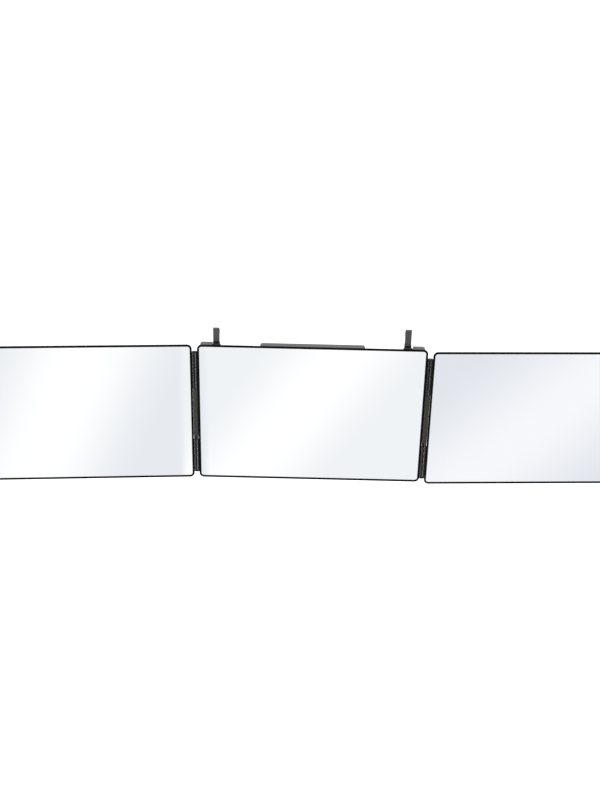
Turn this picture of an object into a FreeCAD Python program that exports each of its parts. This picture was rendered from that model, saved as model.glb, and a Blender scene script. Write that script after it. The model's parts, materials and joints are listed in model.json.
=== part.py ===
import FreeCAD, Part
import Sketcher
import os
import re
from math import cos, radians, sin

# Folding three-panel dressing mirror that hangs over a door on two telescoping arms.
# X runs along the mirror, Y runs from the glass to the back, Z is up.  The origin is the
# middle of the rest pad's back face, so the door lies at Y = 0 and the glass faces -Y.
# Every panel is drawn in its own frame: x and z from its middle, y from its rim's front face.
# A side is -1 on the left and 1 on the right, and an end is -1 at the foot and 1 at the head.

SIZES = {
    # panels
    "center_width": 290.0,
    "wing_width": 288.0,
    "panel_height": 191.8,
    "corner_radius": 6.0,
    "rim_width": 2.65,
    "rim_wall": 1.3,
    "rim_depth": 1.2,
    "lip_depth": 0.4,
    "edge_break": 0.12,
    "glass_thickness": 1.6,
    "glass_play": 0.1,
    "board_thickness": 1.0,
    "side_taper": 28.5,
    "wing_depth": 9.0,
    "center_depth": 18.0,
    "rest_depth": 20.0,
    "side_wall": 16.0,
    "end_wall": 8.0,
    "skin": 1.6,
    "cavity_radius": 4.0,
    "board_play": 0.5,
    "overrun": 1.0,
    # rest pose of the wings
    "left_fold": 4.5,
    "right_fold": -3.0,
    "right_drop": 3.0,
    # hinge spines between the panels
    "edge_to_axis": 1.55,
    "axis_spacing": 3.5,
    "axis_depth": 1.45,
    "barrel_radius": 1.45,
    "pin_radius": 0.7,
    "bore_radius": 0.75,
    "upper_barrel_head": 84.4,
    "upper_barrel_foot": 34.0,
    "lower_barrel_head": -40.0,
    "lower_barrel_foot": -86.0,
    "link_radius": 1.5,
    "link_half_length": 33.8,
    "end_link_gap": 0.3,
    "end_link_thickness": 1.6,
    "strip_width": 1.1,
    "strip_front": 1.1,
    "strip_back": 1.7,
    "washer_radius": 1.3,
    "washer_gap": 0.1,
    "leaf_thickness": 0.8,
    "leaf_reach": 15.0,
    "leaf_play": 0.1,
    "leaf_screw_inset": 11.5,
    # rear of the center panel
    "post_outer": 141.5,
    "post_inner": 126.3,
    "post_height": 40.0,
    "post_radius": 3.0,
    "post_straight": 10.4,
    "post_taper": 30.0,
    "block_width": 132.0,
    "block_height": 34.0,
    "block_radius": 3.0,
    "bay_half_width": 128.0,
    "bay_top": 34.0,
    "bay_bottom": -82.0,
    "upper_bay_half_width": 94.0,
    "upper_bay_bottom": 40.0,
    "cover_play": 0.2,
    "cover_boss_radius": 3.4,
    "cover_boss_inset": 2.2,
    "cover_boss_offset": 105.0,
    "cover_screw_length": 7.8,
    "cover_hole_length": 8.8,
    "trough_inner": 100.0,
    "trough_bottom": 40.0,
    "trough_front": 3.3,
    "step_half_width": 5.6,
    "step_rise": 1.0,
    "pad_width": 90.0,
    "pad_height": 44.0,
    "pad_radius": 6.0,
    "foot_radius": 4.0,
    "foot_offset_x": 132.4,
    "foot_offset_z": 84.0,
    # telescoping arms, at their rest lengths
    "arm_offset": 120.0,
    "arm_shift": -0.8,
    "arm_depth": 6.0,
    "slide_play": 0.05,
    "rod_width": 8.0,
    "rod_depth": 3.0,
    "tube_wall": 0.25,
    "sleeve_wall": 0.75,
    "sleeve_top": 94.5,
    "sleeve_tab_top": 98.9,
    "sleeve_bottom": -80.0,
    "left_tube_top": 98.0,
    "right_tube_top": 101.0,
    "tube_length": 150.0,
    "rod_above_tube": 19.0,
    "rod_length": 145.0,
    "plug_length": 4.0,
    "glide_length": 6.0,
    "sleeve_play": 0.05,
    "sleeve_passage_play": 0.1,
    "clamp_width": 13.6,
    "clamp_height": 8.0,
    "clamp_inset": 0.2,
    "clamp_screw_length": 7.5,
    "clamp_hole_length": 8.0,
    # folding door hooks on the arms, drawn folded down
    "pivot_below_top": 7.0,
    "pivot_depth": 10.8,
    "eye_radius": 2.2,
    "leg_start": 1.3,
    "ear_thickness": 0.9,
    "ear_half_height": 2.4,
    "knuckle_base": 0.8,
    "hook_pin_radius": 1.0,
    "hook_width": 6.0,
    "hook_plate": 2.4,
    "hook_leg_depth": 16.3,
    "hook_throat": 55.0,
    "hook_tip_depth": 4.4,
    "hook_tab_height": 14.0,
    "hook_tab_inner": 102.0,
    "hook_lip_width": 11.9,
    "hook_joggle_start": 4.0,
    "hook_joggle_end": 14.0,
    "hook_joggle_offset": 1.0,
    "hook_pad_thickness": 1.0,
    "hook_pad_gap": 4.0,
    "hook_pin_play": 0.02,
    # screws
    "screw_radius": 1.0,
    "screw_hole_radius": 1.1,
    "screw_head_radius": 1.9,
    "screw_head_height": 1.2,
    "counterbore_radius": 2.1,
    "recess_width": 0.6,
    "recess_length": 2.2,
    "recess_depth": 0.7,
}

doc = FreeCAD.newDocument("TrifoldMirror")
sheet = doc.addObject("Spreadsheet::Sheet", "Sizes")
for row, (alias, size) in enumerate(SIZES.items(), start=1):
    sheet.set(f"A{row}", alias)
    sheet.set(f"B{row}", str(size))
    sheet.setAlias(f"B{row}", alias)
doc.recompute()

probe = doc.addObject("App::FeaturePython", "Probe")
probe.addProperty("App::PropertyFloat", "Number")
nodes = []


def expression(text):
    """Puts the sheet's name in front of each alias in a formula."""
    return re.sub(
        r"[a-z][a-z_]+",
        lambda word: f"Sizes.{word.group(0)}" if word.group(0) in SIZES else word.group(0),
        str(text),
    )


def number(text):
    """The present value of a formula of the sheet's names."""
    probe.setExpression("Number", expression(text))
    probe.recompute()
    return probe.Number


def bind(feature, **formulas):
    """Ties properties to formulas; at_x, at_y and at_z stand for the placement's base."""
    for name, formula in formulas.items():
        path = f".Placement.Base.{name[3:]}" if name.startswith("at_") else name
        feature.setExpression(path, expression(formula))
    return feature


def finish(feature, label, placement):
    """Names a finished sub-part and puts it in its place in the assembly."""
    feature.Label = label
    feature.Placement = placement
    nodes.append(feature)
    return feature


# ---------------------------------------------------------------- primitives and booleans


def box(center_x, width, y_from, y_to, z_from, z_to):
    block = doc.addObject("Part::Box", "Box")
    return bind(
        block,
        Length=width,
        Width=f"({y_to}) - ({y_from})",
        Height=f"({z_to}) - ({z_from})",
        at_x=f"({center_x}) - ({width}) / 2",
        at_y=y_from,
        at_z=z_from,
    )


def rod_along(axis, x, y, z, radius, length):
    """A cylinder that starts at x, y, z and runs along +X, +Y or +Z."""
    cylinder = doc.addObject("Part::Cylinder", "Cylinder")
    turns = {
        "x": FreeCAD.Rotation(FreeCAD.Vector(0, 1, 0), 90),
        "y": FreeCAD.Rotation(FreeCAD.Vector(1, 0, 0), -90),
        "z": FreeCAD.Rotation(),
    }
    cylinder.Placement = FreeCAD.Placement(FreeCAD.Vector(), turns[axis])
    return bind(cylinder, Radius=radius, Height=length, at_x=x, at_y=y, at_z=z)


def fuse(*shapes):
    union = doc.addObject("Part::MultiFuse", "Fuse")
    union.Shapes = list(shapes)
    return union


def cut(base, *tools):
    difference = doc.addObject("Part::Cut", "Cut")
    difference.Base = base
    difference.Tool = tools[0] if len(tools) == 1 else fuse(*tools)
    return difference


def group(*shapes):
    compound = doc.addObject("Part::Compound", "Group")
    compound.Links = list(shapes)
    return compound


def screw(x, z, head_y, tip_y):
    """A cross-head screw driven towards the glass, its head's underside at head_y."""
    top = f"({head_y}) + screw_head_height"
    head = rod_along("y", x, head_y, z, "screw_head_radius", "screw_head_height")
    shank = rod_along("y", x, tip_y, z, "screw_radius", f"({head_y}) - ({tip_y})")
    floor = f"{top} - recess_depth"
    above = f"{top} + overrun"
    half = "recess_length / 2"
    thin = "recess_width / 2"
    level = box(x, "recess_length", floor, above, f"({z}) - {thin}", f"({z}) + {thin}")
    upright = box(x, "recess_width", floor, above, f"({z}) - {half}", f"({z}) + {half}")
    return cut(fuse(head, shank), level, upright)


# ---------------------------------------------------------------- sketched bodies


def sketch_on(body, role, offset):
    plane = next(item for item in body.Origin.OriginFeatures if item.Role == role)
    sketch = body.newObject("Sketcher::SketchObject", "Sketch")
    sketch.AttachmentSupport = [(plane, "")]
    sketch.MapMode = "FlatFace"
    sketch.setExpression(".AttachmentOffset.Base.z", expression(offset))
    return sketch


def dimension(sketch, size, kind, *places):
    index = sketch.addConstraint(Sketcher.Constraint(kind, *places, number(size)))
    sketch.setExpression(f"Constraints[{index}]", expression(size))


def draw_polygon(sketch, points):
    """A closed outline whose corners are pairs of formulas."""
    places = [FreeCAD.Vector(number(x), number(y), 0) for x, y in points]
    first = sketch.GeometryCount
    count = len(places)
    for index in range(count):
        sketch.addGeometry(Part.LineSegment(places[index], places[(index + 1) % count]), False)
    for index, (x, y) in enumerate(points):
        line = first + index
        before = first + (index - 1) % count
        sketch.addConstraint(Sketcher.Constraint("Coincident", before, 2, line, 1))
        dimension(sketch, x, "DistanceX", -1, 1, line, 1)
        dimension(sketch, y, "DistanceY", -1, 1, line, 1)


def draw_rectangle(sketch, x_from, x_to, y_from, y_to):
    draw_polygon(sketch, [(x_from, y_from), (x_to, y_from), (x_to, y_to), (x_from, y_to)])


def draw_circle(sketch, x, y, radius):
    center = FreeCAD.Vector(number(x), number(y), 0)
    circle = sketch.addGeometry(Part.Circle(center, FreeCAD.Vector(0, 0, 1), number(radius)), False)
    dimension(sketch, radius, "Radius", circle)
    dimension(sketch, x, "DistanceX", -1, 1, circle, 3)
    dimension(sketch, y, "DistanceY", -1, 1, circle, 3)


def draw_rounded(sketch, x, y, width, height, radius):
    """A rectangle with round corners: four sides, each followed by its corner's arc."""
    mid_x, mid_y, half_x, half_y, bend = (
        number(size) for size in (x, y, f"({width}) / 2", f"({height}) / 2", radius)
    )
    first = sketch.GeometryCount
    signs = [(1, -1), (1, 1), (-1, 1), (-1, -1)]
    centers = [
        FreeCAD.Vector(mid_x + sx * (half_x - bend), mid_y + sy * (half_y - bend), 0)
        for sx, sy in signs
    ]
    outward = [FreeCAD.Vector(*way, 0) * bend for way in [(0, -1), (1, 0), (0, 1), (-1, 0)]]
    for index, center in enumerate(centers):
        side = Part.LineSegment(centers[index - 1] + outward[index], center + outward[index])
        circle = Part.Circle(center, FreeCAD.Vector(0, 0, 1), bend)
        arc = Part.ArcOfCircle(circle, radians(90 * index - 90), radians(90 * index))
        sketch.addGeometry([side, arc], False)
    for index in range(4):
        side, arc = first + 2 * index, first + 2 * index + 1
        following = first + (2 * index + 2) % 8
        sketch.addConstraint(Sketcher.Constraint("Tangent", side, 2, arc, 1))
        sketch.addConstraint(Sketcher.Constraint("Tangent", arc, 2, following, 1))
        sketch.addConstraint(Sketcher.Constraint(("Horizontal", "Vertical")[index % 2], side))
        if index:
            sketch.addConstraint(Sketcher.Constraint("Equal", first + 1, arc))
    dimension(sketch, radius, "Radius", first + 1)
    dimension(sketch, f"({y}) - ({height}) / 2", "DistanceY", -1, 1, first, 1)
    dimension(sketch, f"({x}) + ({width}) / 2", "DistanceX", -1, 1, first + 2, 1)
    dimension(sketch, f"({y}) + ({height}) / 2", "DistanceY", -1, 1, first + 4, 1)
    dimension(sketch, f"({x}) - ({width}) / 2", "DistanceX", -1, 1, first + 6, 1)


class PanelBody:
    """A body made of slabs and pockets parallel to the glass, each from one depth to another."""

    def __init__(self, name, body=None):
        self.body = body or doc.addObject("PartDesign::Body", name)

    def feature(self, kind, y_from, y_to, outlines):
        sketch = sketch_on(self.body, "XZ_Plane", f"-({y_from})")
        for draw, *sizes in outlines:
            draw(sketch, *sizes)
        made = self.body.newObject(kind, kind.split("::")[1])
        made.Profile = sketch
        made.Reversed = kind == "PartDesign::Pad"
        made.setExpression("Length", expression(f"({y_to}) - ({y_from})"))
        return made

    def slab(self, y_from, y_to, *outlines):
        return self.feature("PartDesign::Pad", y_from, y_to, outlines)

    def tapered(self, y_from, y_to, angle, *outlines):
        slab = self.slab(y_from, y_to, *outlines)
        slab.setExpression("TaperAngle", expression(f"-{angle}"))

    def pocket(self, y_from, y_to, *outlines):
        """Cuts from one depth to another, and makes sure that something was cut."""
        doc.recompute()
        before = self.body.Shape.Volume
        self.feature("PartDesign::Pocket", y_from, y_to, outlines)
        doc.recompute()
        if not self.body.Shape.Volume < before:
            raise RuntimeError(f"{self.body.Name}: a pocket cut nothing")


def column(name, z_from, z_to, *outlines):
    """A body of one upright slab whose outlines lie in the XY plane."""
    body = doc.addObject("PartDesign::Body", name)
    sketch = sketch_on(body, "XY_Plane", z_from)
    for draw, *sizes in outlines:
        draw(sketch, *sizes)
    pad = body.newObject("PartDesign::Pad", "Pad")
    pad.Profile = sketch
    pad.setExpression("Length", expression(f"({z_to}) - ({z_from})"))
    return body


# ---------------------------------------------------------------- places in the assembly


def turned(x, y, z, degrees):
    spin = FreeCAD.Rotation(FreeCAD.Vector(0, 0, 1), degrees)
    return FreeCAD.Placement(FreeCAD.Vector(x, y, z), spin)


FACE_Y = -SIZES["rest_depth"]
CENTER_PLACE = turned(0, FACE_Y, 0, 0)


def spine_place(side):
    """Frame of a spine: its origin is the pin in the center panel's edge."""
    fold = SIZES["left_fold"] if side < 0 else SIZES["right_fold"]
    drop = 0 if side < 0 else SIZES["right_drop"]
    x = side * (SIZES["center_width"] / 2 + SIZES["edge_to_axis"])
    return turned(x, FACE_Y + SIZES["axis_depth"], -drop, -side * fold / 2)


def wing_place(side):
    """Frame of a wing: the other pin carries it, and it is turned by the whole fold."""
    fold = SIZES["left_fold"] if side < 0 else SIZES["right_fold"]
    spine = spine_place(side)
    pin = spine.multVec(FreeCAD.Vector(side * SIZES["axis_spacing"], 0, 0))
    angle = -side * fold
    reach = side * (SIZES["edge_to_axis"] + SIZES["wing_width"] / 2)
    back = -SIZES["axis_depth"]
    x = pin.x + reach * cos(radians(angle)) - back * sin(radians(angle))
    y = pin.y + reach * sin(radians(angle)) + back * cos(radians(angle))
    return turned(x, y, pin.z, angle)


# ---------------------------------------------------------------- what every panel has

FLAT = 1e-6
GLASS_BACK = "(lip_depth + glass_thickness)"
LEAF_BACK = "(axis_depth + barrel_radius)"
LEAF_FRONT = f"({LEAF_BACK} - leaf_thickness)"


def front_frame(label, width, place):
    """The black rim: a thin lip over the glass's border, with its front edges broken."""
    frame = PanelBody(label)
    frame.slab(0, "rim_depth", rounded_inset(width, 0))
    frame.pocket("-overrun", "lip_depth", rounded_inset(width, "rim_width"))
    frame.pocket("lip_depth", "rim_depth + overrun", rounded_inset(width, "rim_wall"))
    front = [
        f"Edge{index}"
        for index, edge in enumerate(frame.body.Shape.Edges, start=1)
        if all(abs(vertex.Point.y) < FLAT for vertex in edge.Vertexes)
    ]
    blank = frame.body.Tip
    chamfer = frame.body.newObject("PartDesign::Chamfer", "Chamfer")
    chamfer.Base = (blank, front)
    bind(chamfer, Size="edge_break")
    finish(frame.body, label, place)


def rounded_inset(width, inset):
    """The panel's outline, drawn in by an even inset."""
    return (
        draw_rounded,
        0,
        0,
        f"{width} - 2 * ({inset})",
        f"panel_height - 2 * ({inset})",
        f"corner_radius - ({inset})",
    )


def low_first(side, inner, outer):
    """An inner and an outer x in rising order."""
    return (inner, outer) if side > 0 else (outer, inner)


def mirror_glass(label, width, place):
    glass = PanelBody(label)
    glass.slab("lip_depth", GLASS_BACK, rounded_inset(width, "rim_wall + glass_play"))
    finish(glass.body, label, place)


def backing_board(label, x, z, width, height, place):
    """A thin board behind the glass, a little smaller than the hollow that it lies in."""
    board = PanelBody(label)
    size = (f"{width} - 2 * board_play", f"{height} - 2 * board_play")
    outline = (draw_rounded, x, z, *size, "cavity_radius")
    board.slab(GLASS_BACK, f"{GLASS_BACK} + board_thickness", outline)
    finish(board.body, label, place)


def shell_blank(label, width, depth):
    """The tapered tray behind the rim."""
    shell = PanelBody(label)
    shell.tapered("rim_depth", depth, "side_taper", rounded_inset(width, 0))
    return shell


def glass_rebate(shell, width):
    shell.pocket("0", GLASS_BACK, rounded_inset(width, "rim_wall"))


class HingeEdge:
    """One edge of a panel with its two hinge leaves, which sit lower by drop."""

    def __init__(self, width, depth, side, drop="0"):
        self.width = width
        self.depth = depth
        self.side = side
        self.spans = {
            "upper": (f"(upper_barrel_foot - {drop})", f"(upper_barrel_head - {drop})"),
            "lower": (f"(lower_barrel_foot - {drop})", f"(lower_barrel_head - {drop})"),
        }

    def slots(self):
        inner = f"{self.side} * ({self.width} / 2 - leaf_reach - leaf_play)"
        outer = f"{self.side} * ({self.width} / 2 + overrun)"
        ends = low_first(self.side, inner, outer)
        return [
            (draw_rectangle, *ends, f"{foot} - leaf_play", f"{head} + leaf_play")
            for foot, head in self.spans.values()
        ]

    def screw_places(self, span):
        """Two screws in the leaf, a quarter of its length in from its ends."""
        x = f"{self.side} * ({self.width} / 2 - leaf_screw_inset)"
        foot, head = self.spans[span]
        quarter = f"({head} - {foot}) / 4"
        return [(x, f"{foot} + {quarter}"), (x, f"{head} - {quarter}")]

    def all_screw_places(self):
        return [place for span in self.spans for place in self.screw_places(span)]

    def cut_from(self, shell):
        """Slots for the leaves, and holes and counterbores for their screws."""
        shell.pocket(GLASS_BACK, f"{LEAF_BACK} + leaf_play", *self.slots())
        places = self.all_screw_places()
        holes = [(draw_circle, x, z, "screw_hole_radius") for x, z in places]
        bores = [(draw_circle, x, z, "counterbore_radius") for x, z in places]
        shell.pocket(GLASS_BACK, f"{self.depth} + overrun", *holes)
        shell.pocket(f"{self.depth} - wing_depth / 2", f"{self.depth} + overrun", *bores)

    def screws(self):
        head_y = f"{self.depth} - wing_depth / 2"
        return [screw(x, z, head_y, LEAF_FRONT) for x, z in self.all_screw_places()]

    def leaf(self, label, span, place):
        """A steel leaf in the panel's edge with its barrel rolled round the pin."""
        foot, head = self.spans[span]
        length = f"({head} - {foot})"
        axis_x = f"{self.side} * ({self.width} / 2 + edge_to_axis)"
        reach = "(edge_to_axis + leaf_reach)"
        middle = f"{axis_x} - {self.side} * {reach} / 2"
        barrel = rod_along("z", axis_x, "axis_depth", foot, "barrel_radius", length)
        plate = box(middle, reach, LEAF_FRONT, LEAF_BACK, foot, head)
        start = f"{foot} - overrun"
        bore = rod_along("z", axis_x, "axis_depth", start, "bore_radius", f"{length} + 2 * overrun")
        front = f"{LEAF_FRONT} - overrun"
        through = "leaf_thickness + 2 * overrun"
        holes = [
            rod_along("y", x, front, z, "screw_hole_radius", through)
            for x, z in self.screw_places(span)
        ]
        finish(cut(fuse(barrel, plate), bore, *holes), label, place)


# ---------------------------------------------------------------- wings


def wing(name, side):
    place = wing_place(side)
    width = "wing_width"
    edge = HingeEdge(width, "wing_depth", -side)
    front_frame(f"{name}_front_frame", width, place)
    mirror_glass(f"{name}_mirror_glass", width, place)

    shell = shell_blank(f"{name}_rear_shell", width, "wing_depth")
    glass_rebate(shell, width)
    cavity_size = (f"{width} - 2 * side_wall", "panel_height - 2 * end_wall")
    cavity = (draw_rounded, 0, 0, *cavity_size, "cavity_radius")
    shell.pocket(GLASS_BACK, "wing_depth - skin", cavity)
    edge.cut_from(shell)
    finish(shell.body, f"{name}_rear_shell", place)
    backing_board(f"{name}_backing_board", 0, 0, *cavity_size, place)

    for span in edge.spans:
        edge.leaf(f"{name}_hinge_leaf_{span}", span, place)
    finish(group(*edge.screws()), f"{name}_leaf_screws", place)


# ---------------------------------------------------------------- center panel


BAY_HEIGHT = "(bay_top - bay_bottom)"
BAY_MIDDLE = "((bay_top + bay_bottom) / 2)"
CENTER_EDGES = {
    "left": HingeEdge("center_width", "center_depth", -1),
    "right": HingeEdge("center_width", "center_depth", 1, "right_drop"),
}


def rear_post(side, end):
    """Outline of a corner post, which the trough beside it cuts square at the head."""
    inner = "(post_inner - post_radius)"
    return (
        draw_rounded,
        f"{side} * (post_outer + {inner}) / 2",
        f"{end} * (panel_height - post_height) / 2",
        f"post_outer - {inner}",
        "post_height",
        "post_radius",
    )


def rear_block():
    mid = "(panel_height - block_height) / 2"
    return (draw_rounded, 0, mid, "block_width", "block_height", "block_radius")


def cover_boss_places():
    heights = ("bay_top - cover_boss_inset", "bay_bottom + cover_boss_inset")
    return [(f"{place} * cover_boss_offset", z) for place in (-1, 0, 1) for z in heights]


def raise_rear(shell):
    """Four corner posts and the block between them, flush with the panel's edges in front."""
    raised = [rear_post(side, end) for side in (-1, 1) for end in (-1, 1)] + [rear_block()]
    for outline in raised:
        shell.slab("rim_depth", "post_straight", outline)
        shell.tapered("post_straight", "center_depth", "post_taper", outline)


def hollow_rear(shell):
    """The bay behind the back cover, and a closed hollow in the block above it."""
    bay_size = ("2 * bay_half_width", BAY_HEIGHT)
    bay = (draw_rounded, 0, BAY_MIDDLE, *bay_size, "cavity_radius")
    shell.pocket(GLASS_BACK, "center_depth + overrun", bay)
    upper_top = "(panel_height / 2 - end_wall)"
    upper_middle = f"({upper_top} + upper_bay_bottom) / 2"
    upper_size = ("2 * upper_bay_half_width", f"{upper_top} - upper_bay_bottom")
    upper = (draw_rounded, 0, upper_middle, *upper_size, "cavity_radius")
    shell.pocket(GLASS_BACK, "center_depth - skin", upper)


def cover_bosses(shell):
    places = cover_boss_places()
    bosses = [(draw_circle, x, z, "cover_boss_radius") for x, z in places]
    for boss in bosses:
        shell.slab(GLASS_BACK, "center_depth - skin", boss)
    holes = [(draw_circle, x, z, "screw_hole_radius") for x, z in places]
    shell.pocket("center_depth - skin - cover_hole_length", "center_depth", *holes)


def arm_middle(side):
    """An arm's middle line: both arms stand a little to the left of the posts' middle."""
    return f"({side} * arm_offset + arm_shift)"


def arm_step(shell, side):
    """A low step on the panel's top edge, between the rim and an arm."""
    middle = arm_middle(side)
    ends = (f"{middle} - step_half_width", f"{middle} + step_half_width")
    top = "panel_height / 2 + step_rise"
    outline = (draw_rectangle, *ends, "panel_height / 2 - end_wall / 2", top)
    shell.slab("rim_depth", "trough_front", outline)


def arm_trough(shell, side):
    """The trough that the folded hook lies in, and the sleeve's way down into the bay."""
    trough = low_first(side, f"{side} * trough_inner", f"{side} * post_inner")
    head = "panel_height / 2 + overrun"
    shell.pocket(
        "trough_front",
        "center_depth + overrun",
        (draw_rectangle, *trough, "trough_bottom", head),
    )
    half_depth = f"({SLEEVE_DEPTH} / 2 + sleeve_passage_play)"
    half_width = f"({SLEEVE_WIDTH} / 2 + sleeve_passage_play)"
    passage = (f"{arm_middle(side)} - {half_width}", f"{arm_middle(side)} + {half_width}")
    shell.pocket(
        f"arm_depth - {half_depth}",
        f"arm_depth + {half_depth}",
        (draw_rectangle, *passage, "bay_top - overrun", "trough_bottom + overrun"),
    )


def center_shell():
    shell = shell_blank("center_rear_shell", "center_width", "center_depth")
    raise_rear(shell)
    for side in (-1, 1):
        arm_step(shell, side)
    glass_rebate(shell, "center_width")
    hollow_rear(shell)
    cover_bosses(shell)
    for side in (-1, 1):
        arm_trough(shell, side)
    for edge in CENTER_EDGES.values():
        edge.cut_from(shell)
    finish(shell.body, "center_rear_shell", CENTER_PLACE)


def back_cover():
    cover = PanelBody("center_back_cover")
    size = ("2 * (bay_half_width - cover_play)", f"{BAY_HEIGHT} - 2 * cover_play")
    outline = (draw_rounded, 0, BAY_MIDDLE, *size, "cavity_radius - cover_play")
    cover.slab("center_depth - skin", "center_depth", outline)
    places = cover_boss_places() + clamp_places()
    holes = [(draw_circle, x, z, "screw_hole_radius") for x, z in places]
    cover.pocket("center_depth - skin - overrun", "center_depth + overrun", *holes)
    finish(cover.body, "center_back_cover", CENTER_PLACE)
    tip = "center_depth - skin - cover_screw_length"
    screws = [screw(x, z, "center_depth", tip) for x, z in cover_boss_places()]
    finish(group(*screws), "cover_screws", CENTER_PLACE)


def rest_pads():
    """The foam pad that lies against the door, and four round feet in the corners."""
    pad = PanelBody("door_rest_pad")
    outline = (draw_rounded, 0, 0, "pad_width", "pad_height", "pad_radius")
    pad.slab("center_depth", "rest_depth", outline)
    finish(pad.body, "door_rest_pad", CENTER_PLACE)
    thickness = "rest_depth - center_depth"
    feet = []
    for side in (-1, 1):
        for end in (-1, 1):
            x, z = f"{side} * foot_offset_x", f"{end} * foot_offset_z"
            feet.append(rod_along("y", x, "center_depth", z, "foot_radius", thickness))
    finish(group(*feet), "corner_feet", CENTER_PLACE)


# ---------------------------------------------------------------- telescoping arms

TUBE_WIDTH = "(rod_width + 2 * (slide_play + tube_wall))"
TUBE_DEPTH = "(rod_depth + 2 * (slide_play + tube_wall))"
SLEEVE_WIDTH = f"({TUBE_WIDTH} + 2 * (slide_play + sleeve_wall))"
SLEEVE_DEPTH = f"({TUBE_DEPTH} + 2 * (slide_play + sleeve_wall))"


def flat_bar(side, width, depth, z_from, z_to):
    """An upright bar of rectangular section on an arm's middle line."""
    return box(
        arm_middle(side),
        width,
        f"arm_depth - {depth} / 2",
        f"arm_depth + {depth} / 2",
        z_from,
        z_to,
    )


def flat_tube(side, width, depth, wall, z_from, z_to):
    outside = flat_bar(side, width, depth, z_from, z_to)
    hollow = (f"({width} - 2 * {wall})", f"({depth} - 2 * {wall})")
    return cut(outside, flat_bar(side, *hollow, f"({z_from}) - overrun", f"({z_to}) + overrun"))


def clamp_places():
    """Two clamps hold each sleeve against the back cover."""
    heights = (
        f"bay_bottom + {BAY_HEIGHT} * clamp_inset",
        f"bay_top - {BAY_HEIGHT} * clamp_inset",
    )
    return [(arm_middle(side), z) for side in (-1, 1) for z in heights]


def sleeve_clamp(x, z):
    """A block with a passage for the sleeve and a thread for the screw through the cover."""
    low, high = f"({z}) - clamp_height / 2", f"({z}) + clamp_height / 2"
    block = box(x, "clamp_width", "trough_front", "center_depth - skin", low, high)
    passage = box(
        x,
        f"{SLEEVE_WIDTH} + 2 * sleeve_play",
        f"arm_depth - ({SLEEVE_DEPTH} / 2 + sleeve_play)",
        f"arm_depth + ({SLEEVE_DEPTH} / 2 + sleeve_play)",
        f"{low} - overrun",
        f"{high} + overrun",
    )
    start = "center_depth - clamp_hole_length"
    thread = rod_along("y", x, start, z, "screw_hole_radius", "clamp_hole_length")
    return cut(block, passage, thread)


def sleeve_mounts():
    clamps = [sleeve_clamp(x, z) for x, z in clamp_places()]
    finish(group(*clamps), "sleeve_clamps", CENTER_PLACE)
    tip = "center_depth - clamp_screw_length"
    screws = [screw(x, z, "center_depth", tip) for x, z in clamp_places()]
    finish(group(*screws), "clamp_screws", CENTER_PLACE)


def arm_sleeve(side):
    """The fixed outer tube, with a tab at its mouth that guides the tube's front face."""
    ends = ("sleeve_bottom", "sleeve_top")
    sleeve = flat_tube(side, SLEEVE_WIDTH, SLEEVE_DEPTH, "sleeve_wall", *ends)
    front = f"arm_depth - {SLEEVE_DEPTH} / 2"
    tab_ends = ("sleeve_top - overrun", "sleeve_tab_top")
    tab = box(arm_middle(side), TUBE_WIDTH, front, f"{front} + sleeve_wall", *tab_ends)
    return fuse(sleeve, tab)


def arm(name, side):
    tube_top = f"{name}_tube_top"
    tube_bottom = f"({tube_top} - tube_length)"
    rod_top = f"({tube_top} + rod_above_tube)"
    rod_bottom = f"({rod_top} - rod_length)"
    finish(arm_sleeve(side), f"{name}_arm_sleeve", CENTER_PLACE)
    tube = flat_tube(side, TUBE_WIDTH, TUBE_DEPTH, "tube_wall", tube_bottom, tube_top)
    finish(tube, f"{name}_arm_tube", CENTER_PLACE)
    plug = flat_bar(side, "rod_width", "rod_depth", tube_bottom, f"{tube_bottom} + plug_length")
    finish(group(plug), f"{name}_tube_plug", CENTER_PLACE)
    rod = flat_bar(side, "rod_width", "rod_depth", rod_bottom, rod_top)
    finish(group(rod), f"{name}_arm_rod", CENTER_PLACE)
    glide = flat_bar(side, "rod_width", "rod_depth", f"{rod_bottom} - glide_length", rod_bottom)
    finish(group(glide), f"{name}_rod_glide", CENTER_PLACE)
    hook_knuckle(name, side, f"({rod_top} - pivot_below_top)")
    hook(name, side, f"({rod_top} - pivot_below_top)")


def hook_knuckle(name, side, pivot_z):
    """Two ears behind the rod's top that hold the hook's pin."""
    back = "(arm_depth + rod_depth / 2)"
    low, high = f"{pivot_z} - ear_half_height", f"{pivot_z} + ear_half_height"
    middle = arm_middle(side)
    edge = f"({middle} - rod_width / 2)"
    pieces = [box(middle, "rod_width", back, f"{back} + knuckle_base", low, high)]
    for ear_side in (-1, 1):
        ear_x = f"({middle} + {ear_side} * (rod_width - ear_thickness) / 2)"
        pieces.append(box(ear_x, "ear_thickness", back, "pivot_depth", low, high))
        round_end = (pivot_z, "ear_half_height", "ear_thickness")
        pieces.append(rod_along("x", f"{ear_x} - ear_thickness / 2", "pivot_depth", *round_end))
    bore = (pivot_z, "hook_pin_radius + hook_pin_play", "rod_width + 2 * overrun")
    hole = rod_along("x", f"{edge} - overrun", "pivot_depth", *bore)
    finish(cut(fuse(*pieces), hole), f"{name}_hook_knuckle", CENTER_PLACE)
    pin = rod_along("x", edge, "pivot_depth", pivot_z, "hook_pin_radius", "rod_width")
    finish(group(pin), f"{name}_hook_pin", CENTER_PLACE)


def mid_feature(body, kind, side, width, *outline):
    """A feature drawn in the arm's middle plane and spread evenly to both sides of it."""
    sketch = sketch_on(body, "YZ_Plane", arm_middle(side))
    draw, *sizes = outline
    draw(sketch, *sizes)
    made = body.newObject(kind, kind.split("::")[1])
    made.Profile = sketch
    made.Midplane = True
    bind(made, Length=width)


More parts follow.
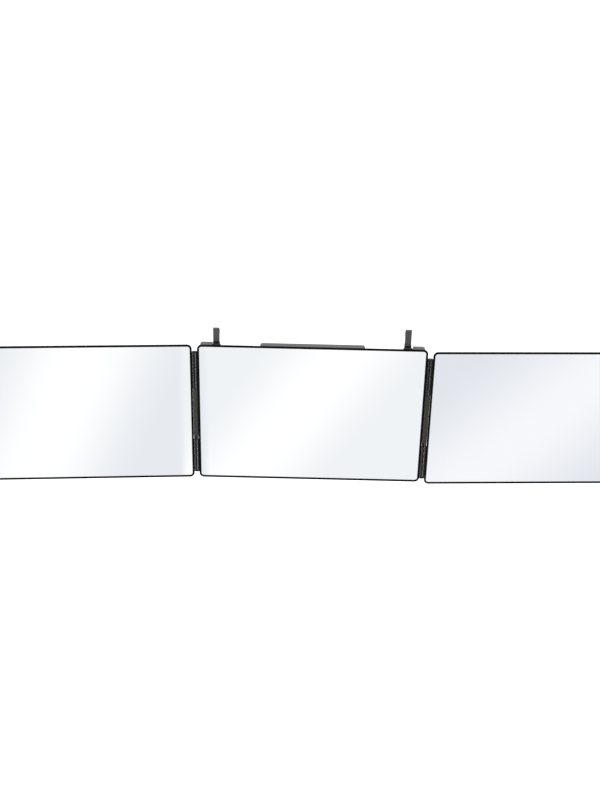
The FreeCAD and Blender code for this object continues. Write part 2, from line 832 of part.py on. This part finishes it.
def hook(name, side, pivot_z):
    """A strip that turns on the pin: a joggled leg, a tab beside the sleeve and its lip."""
    body = doc.addObject("PartDesign::Body", f"{name}_door_hook")
    half = "hook_plate / 2"
    start = f"{pivot_z} - hook_joggle_start"
    end = f"{pivot_z} - hook_joggle_end"
    foot = f"{pivot_z} - hook_throat - hook_plate"
    leg = [
        (f"pivot_depth - {half}", f"{pivot_z} - leg_start"),
        (f"pivot_depth - {half}", start),
        (f"hook_leg_depth - {half}", end),
        (f"hook_leg_depth - {half}", foot),
        (f"hook_leg_depth + {half}", foot),
        (f"hook_leg_depth + {half}", f"{end} + hook_joggle_offset"),
        (f"pivot_depth + {half}", f"{start} + hook_joggle_offset"),
        (f"pivot_depth + {half}", f"{pivot_z} - leg_start"),
    ]
    mid_feature(body, "PartDesign::Pad", side, "hook_width", draw_polygon, leg)
    eye = (draw_circle, "pivot_depth", pivot_z, "eye_radius")
    mid_feature(body, "PartDesign::Pad", side, "hook_width", *eye)
    bore = (draw_circle, "pivot_depth", pivot_z, "hook_pin_radius + slide_play")
    mid_feature(body, "PartDesign::Pocket", side, "hook_width + 2 * overrun", *bore)

    strip = PanelBody(body.Name, body)
    inner = f"{side} * hook_tab_inner"
    tab = low_first(side, inner, f"{arm_middle(side)} + {side} * hook_width / 2")
    tab_outline = (draw_rectangle, *tab, foot, f"{foot} + hook_tab_height")
    strip.slab(f"hook_leg_depth - {half}", f"hook_leg_depth + {half}", tab_outline)
    lip = low_first(side, inner, f"{side} * (hook_tab_inner + hook_lip_width)")
    lip_outline = (draw_rectangle, *lip, foot, f"{foot} + hook_plate")
    strip.slab("hook_tip_depth", "hook_leg_depth", lip_outline)
    finish(body, f"{name}_door_hook", CENTER_PLACE)

    leg_front = f"(hook_leg_depth - {half})"
    ends = (f"{foot} + hook_tab_height", f"{end} - hook_pad_gap")
    pad = box(
        arm_middle(side),
        "hook_width",
        f"{leg_front} - hook_pad_thickness",
        leg_front,
        *ends,
    )
    finish(group(pad), f"{name}_hook_pad", CENTER_PLACE)


# ---------------------------------------------------------------- hinge spines


ROUND_END_PLAY = "0.001"


def stadium(side):
    """Round-ended section round both pins, a little fuller than the barrels."""
    return (
        draw_rounded,
        f"{side} * axis_spacing / 2",
        0,
        "axis_spacing + 2 * link_radius",
        "2 * link_radius",
        f"link_radius - {ROUND_END_PLAY}",
    )


def hinge_link(side, bores):
    """The long middle link, with a thin strip behind the barrels along the whole spine."""
    link = column("HingeLink", "-link_half_length", "link_half_length", stadium(side), *bores)
    strip = box(
        f"{side} * axis_spacing / 2",
        "strip_width",
        "strip_front",
        "strip_back",
        "lower_barrel_foot",
        "upper_barrel_head",
    )
    return fuse(link, strip)


def spine(name, side):
    place = spine_place(side)
    pin_places = (0, f"{side} * axis_spacing")
    bores = [(draw_circle, x, 0, "bore_radius") for x in pin_places]
    finish(hinge_link(side, bores), f"{name}_hinge_link", place)

    head = "(upper_barrel_head + end_link_gap)"
    foot = "(lower_barrel_foot - end_link_gap - end_link_thickness)"
    end_links = [
        column("EndLink", z, f"{z} + end_link_thickness", stadium(side), *bores)
        for z in (foot, head)
    ]
    finish(group(*end_links), f"{name}_end_links", place)

    length = f"{head} + end_link_thickness - {foot}"
    pins = [rod_along("z", x, 0, foot, "pin_radius", length) for x in pin_places]
    finish(group(*pins), f"{name}_hinge_pins", place)

    start = "(lower_barrel_head + washer_gap)"
    length = f"(-link_half_length - washer_gap - {start})"
    washers = [
        cut(
            rod_along("z", x, 0, start, "washer_radius", length),
            rod_along("z", x, 0, f"{start} - overrun", "bore_radius", f"{length} + 2 * overrun"),
        )
        for x in pin_places
    ]
    finish(group(*washers), f"{name}_friction_washers", place)


# ---------------------------------------------------------------- the whole mirror

front_frame("center_front_frame", "center_width", CENTER_PLACE)
mirror_glass("center_mirror_glass", "center_width", CENTER_PLACE)
center_shell()
back_cover()
rest_pads()
sleeve_mounts()
backing_board(
    "center_backing_board",
    0,
    BAY_MIDDLE,
    "2 * (bay_half_width - cover_boss_radius - cover_boss_inset)",
    f"{BAY_HEIGHT} - 2 * (cover_boss_radius + cover_boss_inset)",
    CENTER_PLACE,
)
for side_name, side_sign in (("left", -1), ("right", 1)):
    center_edge = CENTER_EDGES[side_name]
    for span_name in center_edge.spans:
        center_edge.leaf(f"center_hinge_leaf_{side_name}_{span_name}", span_name, CENTER_PLACE)
    spine(side_name, side_sign)
    wing(f"{side_name}_wing", side_sign)
    arm(side_name, side_sign)
all_leaf_screws = [piece for edge in CENTER_EDGES.values() for piece in edge.screws()]
finish(group(*all_leaf_screws), "center_leaf_screws", CENTER_PLACE)

doc.recompute()
doc.removeObject(probe.Name)

faulty = [item.Name for item in doc.Objects if {"Invalid", "Error"} & set(item.State)]
if faulty:
    raise RuntimeError(f"features that failed: {faulty}")
for sub_part in nodes:
    if sub_part.Shape.isNull() or not sub_part.Shape.isValid():
        raise RuntimeError(f"{sub_part.Label} has no valid shape")

os.makedirs("parts", exist_ok=True)
for sub_part in nodes:
    sub_part.Shape.exportStep(f"parts/{sub_part.Label}.step")
print(f"{len(nodes)} sub-parts written")
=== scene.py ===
import json
from math import radians

import bpy
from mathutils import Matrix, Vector

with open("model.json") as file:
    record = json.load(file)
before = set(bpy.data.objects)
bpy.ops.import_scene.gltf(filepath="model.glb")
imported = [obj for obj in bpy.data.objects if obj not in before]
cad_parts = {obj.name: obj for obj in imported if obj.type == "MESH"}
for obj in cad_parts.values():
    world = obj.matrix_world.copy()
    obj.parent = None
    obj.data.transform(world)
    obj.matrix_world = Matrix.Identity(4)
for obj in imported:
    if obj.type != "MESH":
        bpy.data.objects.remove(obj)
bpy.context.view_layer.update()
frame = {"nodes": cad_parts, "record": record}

MM = 0.001
NODES = frame["nodes"]
SLOT_OF = {entry["node"]: entry["material_slot"] for entry in frame["record"]["subparts"]}
scene = bpy.context.scene


# ---------------------------------------------------------------- camera and studio

CAMERA_PLACE = (-9.9 * MM, -1384.7 * MM, 723.2 * MM)
CAMERA_TURN = (62.79, -1.11, 0.76)
CAMERA_LENS = 54
CAMERA_SENSOR = 36

WHITE = (1.0, 1.0, 1.0)
FLOOR_SIZE = 30
FLOOR_DROP = 1.25
FLOOR_SHADE = (0.93, 0.93, 0.93)
FLOOR_ROUGHNESS = 0.9
FLOOR_GLOW = 0.14


def make_camera():
    data = bpy.data.cameras.new("camera")
    data.lens = CAMERA_LENS
    data.sensor_width = CAMERA_SENSOR
    camera = bpy.data.objects.new("camera", data)
    camera.location = CAMERA_PLACE
    camera.rotation_euler = [radians(angle) for angle in CAMERA_TURN]
    scene.collection.objects.link(camera)
    scene.camera = camera


def sheet_mesh(name, width, depth):
    """A flat sheet in its own XY plane, centred on its origin."""
    corners = [
        (side_x * width / 2, side_y * depth / 2, 0)
        for side_x, side_y in ((-1, -1), (1, -1), (1, 1), (-1, 1))
    ]
    mesh = bpy.data.meshes.new(name)
    mesh.from_pydata(corners, [], [(0, 1, 2, 3)])
    sheet = bpy.data.objects.new(name, mesh)
    scene.collection.objects.link(sheet)
    return sheet


def soft_light(name, place, width, depth, power):
    """A large white area light that faces the object."""
    data = bpy.data.lights.new(name, "AREA")
    data.shape = "RECTANGLE"
    data.size = width
    data.size_y = depth
    data.energy = power
    lamp = bpy.data.objects.new(name, data)
    scene.collection.objects.link(lamp)
    lamp.location = place
    lamp.rotation_euler = (-Vector(place)).to_track_quat("-Z", "Y").to_euler()
    return lamp


def make_world():
    world = bpy.data.worlds.new("studio")
    world.use_nodes = True
    background = world.node_tree.nodes["Background"]
    background.inputs["Color"].default_value = (*WHITE, 1)
    background.inputs["Strength"].default_value = 1.0
    scene.world = world
    scene.view_settings.view_transform = "Standard"


def make_studio():
    make_world()
    floor = sheet_mesh("floor", FLOOR_SIZE, FLOOR_SIZE)
    floor.location.z = -FLOOR_DROP
    paint = Paint("pale_floor")
    paint.put(
        Base_Color=(*FLOOR_SHADE, 1),
        Roughness=FLOOR_ROUGHNESS,
        Emission_Color=(*WHITE, 1),
        Emission_Strength=FLOOR_GLOW,
    )
    floor.data.materials.append(paint.material)

    soft_light("overhead_softbox", place=(0, 0.5, 1.7), width=2.4, depth=1.4, power=60)
    soft_light("left_softbox", place=(-1.8, -1.2, 0.9), width=1.0, depth=1.4, power=22)
    low_left = soft_light(
        "low_left_softbox", place=(-1.3, -0.6, -0.7), width=0.5, depth=0.9, power=34
    )
    low_left.visible_camera = False


# Three glowing cards stand side by side in front of the mirror, hidden from the camera, from
# diffuse light and from shadows, so they light nothing and show only as painted reflection:
# each paints a base tone and one slanting band of light into a panel. Their feet and heads are
# level.
# In millimetres: y, the left and right edges, the band's middle at the foot and at the head,
# and half the band's width. The tone is the card's painted reflection across its panel, and the
# glow is its band's.
CARD_FOOT = -300 * MM
CARD_HEAD = 50 * MM
CARD_FADE = 14 * MM
PAINTED_REFLECTION_CARDS = {
    "left_reflection_card": {
        "y": -240, "edges": (-540, -149), "band_middles": (-422, -267), "half_width": 162,
        "reflected_tone": (0.83, 0.85, 0.885), "reflected_band_glow": (1.06, 1.06, 1.06),
    },
    "center_reflection_card": {
        "y": -252, "edges": (-195, 204), "band_middles": (-147, 97), "half_width": 134,
        "reflected_tone": (0.905, 0.92, 0.94), "reflected_band_glow": (1.06, 1.06, 1.06),
    },
    "right_reflection_card": {
        "y": -246, "edges": (172, 640), "band_middles": (194, 586), "half_width": 250,
        "reflected_tone": (0.785, 0.805, 0.855), "reflected_band_glow": (0.96, 0.965, 0.99),
    },
}


def painted_reflection_card(name, y, edges, band_middles, half_width, reflected_tone, reflected_band_glow):
    """An upright glowing card with soft edges, seen only in reflections: it paints its tone into
    the mirror as painted reflection, and more along its band.
    """
    width, height = (edges[1] - edges[0]) * MM, CARD_HEAD - CARD_FOOT
    middle_x = sum(edges) / 2
    card = sheet_mesh(name, width, height)
    card.location = (middle_x * MM, y * MM, (CARD_HEAD + CARD_FOOT) / 2)
    card.rotation_euler.x = radians(90)
    # Hidden from camera, diffuse and shadow rays: the card lights nothing and glows only in
    # reflections.
    card.visible_camera = card.visible_diffuse = card.visible_shadow = False

    paint = Paint(name)
    nodes = paint.tree.nodes
    nodes.remove(paint.shader)
    across = paint.node("ShaderNodeSeparateXYZ", {0: paint.place}).outputs
    foot, head = band_middles
    lean = paint.math("MULTIPLY", across["Y"], (head - foot) * MM / height)
    middle = paint.math("ADD", lean, ((foot + head) / 2 - middle_x) * MM)
    away = paint.math("ABSOLUTE", paint.math("SUBTRACT", across["X"], middle))
    band = paint.fade(away, half_width * MM, 0)
    # Painted reflection: the card's tone, brighter along the slanting band.
    light = paint.node("ShaderNodeEmission", {"Color": paint.tint(band, reflected_tone, reflected_band_glow)})

    clear = paint.node("ShaderNodeBsdfTransparent")
    sides = paint.fade(paint.math("ABSOLUTE", across["X"]), width / 2, width / 2 - CARD_FADE)
    ends = paint.fade(paint.math("ABSOLUTE", across["Y"]), height / 2, height / 2 - CARD_FADE)
    shown = paint.node(
        "ShaderNodeMixShader",
        {0: paint.math("MULTIPLY", sides, ends), 1: clear.outputs[0], 2: light.outputs[0]},
    )
    paint.tree.links.new(shown.outputs[0], nodes["Material Output"].inputs["Surface"])
    card.data.materials.append(paint.material)


# ---------------------------------------------------------------- materials

# The middle part of a noise's range, where nearly all its values lie.
NOISE_LOW, NOISE_HIGH = 0.3, 0.7
# How far the rounded and the true normal agree on a sharp edge and on a flat.
EDGE_AGREES, FLAT_AGREES = 0.72, 0.97
EDGE_SAMPLES = 4
WEAR_RADIUS = 0.35 * MM
WORN_LEVEL = 0.34


class Paint:
    """One material: its shader and the few node chains that the finishes share."""

    def __init__(self, name):
        self.material = bpy.data.materials.new(name)
        self.material.use_nodes = True
        self.tree = self.material.node_tree
        self.shader = self.tree.nodes["Principled BSDF"]
        self.place = self.tree.nodes.new("ShaderNodeTexCoord").outputs["Object"]

    def put(self, **values):
        """Sets the shader's sockets to constants."""
        for name, value in values.items():
            self.shader.inputs[name.replace("_", " ")].default_value = value

    def connect(self, name, output):
        self.tree.links.new(output, self.shader.inputs[name])

    def node(self, kind, inputs=None, **settings):
        """A new node, with its settings, and its inputs linked or set to constants."""
        made = self.tree.nodes.new(kind)
        for name, value in settings.items():
            setattr(made, name, value)
        for name, value in (inputs or {}).items():
            if isinstance(value, bpy.types.NodeSocket):
                self.tree.links.new(value, made.inputs[name])
            else:
                made.inputs[name].default_value = value
        return made

    def math(self, operation, first, second=0.0):
        return self.node("ShaderNodeMath", {0: first, 1: second}, operation=operation).outputs[0]

    def fade(self, value, none_at, full_at):
        """Falls smoothly from 1 to 0 as a value goes from full_at to none_at."""
        inputs = {"Value": value, "From Min": none_at, "From Max": full_at}
        made = self.node("ShaderNodeMapRange", inputs, interpolation_type="SMOOTHSTEP")
        return made.outputs["Result"]

    def grain(self, size, detail=2.0, stretch=(1, 1, 1)):
        """Noise whose features are about size metres long."""
        scaled = self.node("ShaderNodeMapping", {"Vector": self.place, "Scale": stretch})
        noise = self.node(
            "ShaderNodeTexNoise",
            {"Vector": scaled.outputs["Vector"], "Scale": 1 / size, "Detail": detail},
        )
        return noise.outputs["Fac"]

    def spread(self, factor, low, high, start=NOISE_LOW, end=NOISE_HIGH):
        """Turns a factor from start to end into values from low to high."""
        inputs = {
            "Value": factor, "From Min": start, "From Max": end, "To Min": low, "To Max": high,
        }
        return self.node("ShaderNodeMapRange", inputs).outputs["Result"]

    def tint(self, factor, dark, light):
        """A colour between two colours."""
        mix = self.node("ShaderNodeMix", {"Factor": factor}, data_type="RGBA")
        for socket, color in (("A", dark), ("B", light)):
            target = next(s for s in mix.inputs if s.name == socket and s.type == "RGBA")
            if isinstance(color, bpy.types.NodeSocket):
                self.tree.links.new(color, target)
            else:
                target.default_value = (*color, 1)
        return next(s for s in mix.outputs if s.type == "RGBA")

    def color(self, factor, dark, light):
        """Varies the base colour."""
        self.connect("Base Color", self.tint(factor, dark, light))

    def roughness(self, factor, low, high):
        """Varies the roughness."""
        self.connect("Roughness", self.spread(factor, low, high))

    def bump(self, height, depth):
        made = self.node("ShaderNodeBump", {"Height": height, "Distance": depth, "Strength": 1.0})
        self.connect("Normal", made.outputs["Normal"])

    def edges(self, radius):
        """1 along sharp edges and 0 on the flats, for wear that bares an edge."""
        bevel = self.node("ShaderNodeBevel", {"Radius": radius}, samples=EDGE_SAMPLES)
        geometry = self.node("ShaderNodeNewGeometry")
        inputs = {0: bevel.outputs["Normal"], 1: geometry.outputs["Normal"]}
        dot = self.node("ShaderNodeVectorMath", inputs, operation="DOT_PRODUCT")
        return self.spread(dot.outputs["Value"], 1.0, 0.0, EDGE_AGREES, FLAT_AGREES)


def gray(level, warmth=0.0):
    """A gray, which warmth turns towards yellow."""
    return (level, level * (1 - warmth / 5), level * (1 - warmth))


def moulded(name, level, roughness, texture, specular=0.5):
    """Injection-moulded plastic: a spark-eroded texture, faint flow marks, uneven sheen."""
    paint = Paint(name)
    paint.put(Specular_IOR_Level=specular)
    flow = paint.grain(18 * MM, 3, (1, 1, 0.4))
    paint.color(flow, gray(level * 0.82), gray(level * 1.22))
    paint.roughness(paint.grain(6 * MM, 4), roughness - 0.06, roughness + 0.06)
    paint.bump(paint.grain(texture, 2), texture * 0.12)
    return paint.material


def gloss_rim():
    """The polished black rim: nearly smooth, with a trace of orange peel."""
    paint = Paint("rim_plastic")
    paint.put(Specular_IOR_Level=0.035)
    paint.color(paint.grain(30 * MM, 2), gray(0.0015), gray(0.003))
    paint.roughness(paint.grain(5 * MM, 3), 0.16, 0.26)
    paint.bump(paint.grain(1.2 * MM), 0.01 * MM)
    return paint.material


def mirror():
    """Silvered glass, with the faint haze that wiping leaves."""
    paint = Paint("mirror")
    paint.put(Metallic=1.0)
    haze = paint.grain(60 * MM, 3, (1, 1, 0.6))
    paint.color(haze, (0.955, 0.965, 0.97), (0.97, 0.975, 0.978))
    paint.roughness(paint.grain(24 * MM, 4, (0.35, 1, 1.2)), 0.008, 0.022)
    return paint.material


def coated_metal(
    name, level, roughness, warmth=0.0, bare=0.25, specular=0.5, pebble=0.02 * MM
):
    """Powder-coated steel: a fine pebble, and edges that handling has rubbed lighter."""
    paint = Paint(name)
    paint.put(Specular_IOR_Level=specular)
    patches = paint.grain(9 * MM, 3)
    coat = paint.tint(patches, gray(level * 0.85, warmth), gray(level * 1.15, warmth))
    wear = paint.spread(paint.grain(4 * MM, 4), 0, bare)
    rubbed = paint.math("MULTIPLY", paint.edges(WEAR_RADIUS), wear)
    paint.color(rubbed, coat, gray(WORN_LEVEL))
    paint.roughness(paint.grain(3 * MM, 3), roughness - 0.05, roughness + 0.07)
    paint.bump(paint.grain(0.35 * MM), pebble)
    return paint.material


def bright_steel(name, level, roughness, lay=(1, 1, 8)):
    """Bare or zinc-plated steel with fine turning marks."""
    paint = Paint(name)
    paint.put(Metallic=1.0)
    marks = paint.grain(1.5 * MM, 3, lay)
    paint.color(marks, gray(level * 0.8), gray(level * 1.1))
    paint.roughness(marks, roughness - 0.06, roughness + 0.08)
    paint.bump(marks, 0.01 * MM)
    return paint.material


def foam(name, level, cell):
    """Closed-cell foam or soft rubber: open pores on a matt skin."""
    paint = Paint(name)
    paint.put(Specular_IOR_Level=0.25, Roughness=0.92)
    cells = paint.node(
        "ShaderNodeTexVoronoi", {"Vector": paint.place, "Scale": 1 / cell}, feature="F1"
    )
    paint.color(paint.grain(5 * MM, 3), gray(level * 0.8), gray(level * 1.25))
    paint.bump(cells.outputs["Distance"], cell * 0.25)
    return paint.material


def fibre_board():
    """Pressed brown board with short fibres."""
    paint = Paint("fibre_board")
    paint.put(Roughness=0.85)
    fibres = paint.grain(3 * MM, 6, (1, 1, 3))
    paint.color(fibres, (0.16, 0.10, 0.06), (0.34, 0.24, 0.15))
    paint.bump(fibres, 0.1 * MM)
    return paint.material


def paint_nodes():
    finishes = {
        "mirror": mirror(),
        "rim_plastic": gloss_rim(),
        "shell_plastic": moulded(
            "shell_plastic", level=0.022, roughness=0.42, texture=0.5 * MM
        ),
        "cover_plastic": moulded(
            "cover_plastic", level=0.026, roughness=0.5, texture=0.7 * MM
        ),
        "fibre_board": fibre_board(),
        "hinge_metal": coated_metal(
            "hinge_metal", level=0.004, roughness=0.27, bare=0.02, specular=0.3,
            pebble=0.002 * MM,
        ),
        "link_metal": coated_metal(
            "link_metal", level=0.024, roughness=0.5, warmth=0.22, bare=0.03, specular=0.08
        ),
        "pin_steel": bright_steel("pin_steel", level=0.06, roughness=0.3),
        "nylon": moulded(
            "nylon", level=0.012, roughness=0.5, texture=0.6 * MM, specular=0.15
        ),
        "screw_steel": bright_steel(
            "screw_steel", level=0.16, roughness=0.34, lay=(1, 8, 1)
        ),
        "pad_foam": foam("pad_foam", level=0.045, cell=0.8 * MM),
        "pad_rubber": foam("pad_rubber", level=0.022, cell=0.4 * MM),
        "arm_metal": coated_metal(
            "arm_metal", level=0.023, roughness=0.4, warmth=0.04, bare=0.12
        ),
        # The sleeve's near-black, low-sheen coat is partly its own black and partly painted
        # shade: it stands in for the shadow in the opening where the arm goes down into the
        # panel.
        "sleeve_metal": coated_metal(
            "sleeve_metal", level=0.004, roughness=0.5, bare=0.03, specular=0.1
        ),
    }
    for node, item in NODES.items():
        item.data.materials.clear()
        item.data.materials.append(finishes[SLOT_OF[node]])


# ---------------------------------------------------------------- edges

# Rounding of the edges of the drawn bars and of the soft pads, by the end of the node's name.
EDGE_ROUNDING = {
    "arm_rod": 0.3 * MM,
    "door_rest_pad": 0.7 * MM,
    "corner_feet": 0.5 * MM,
    "hook_pad": 0.3 * MM,
}
ROUNDING_SEGMENTS = 3
SHARP_ANGLE = 40
SAME_POINT = 0.002 * MM


def round_edges():
    """Rounds sharp edges. The faces are welded first, because a bevel needs shared points."""
    for node, item in NODES.items():
        for ending, radius in EDGE_ROUNDING.items():
            if node.endswith(ending):
                weld = item.modifiers.new("weld", "WELD")
                weld.merge_threshold = SAME_POINT
                rounding = item.modifiers.new("rounding", "BEVEL")
                rounding.width = radius
                rounding.segments = ROUNDING_SEGMENTS
                rounding.limit_method = "ANGLE"
                rounding.angle_limit = radians(SHARP_ANGLE)


make_camera()
make_studio()
round_edges()
for card_name, card_look in PAINTED_REFLECTION_CARDS.items():
    painted_reflection_card(card_name, **card_look)
paint_nodes()
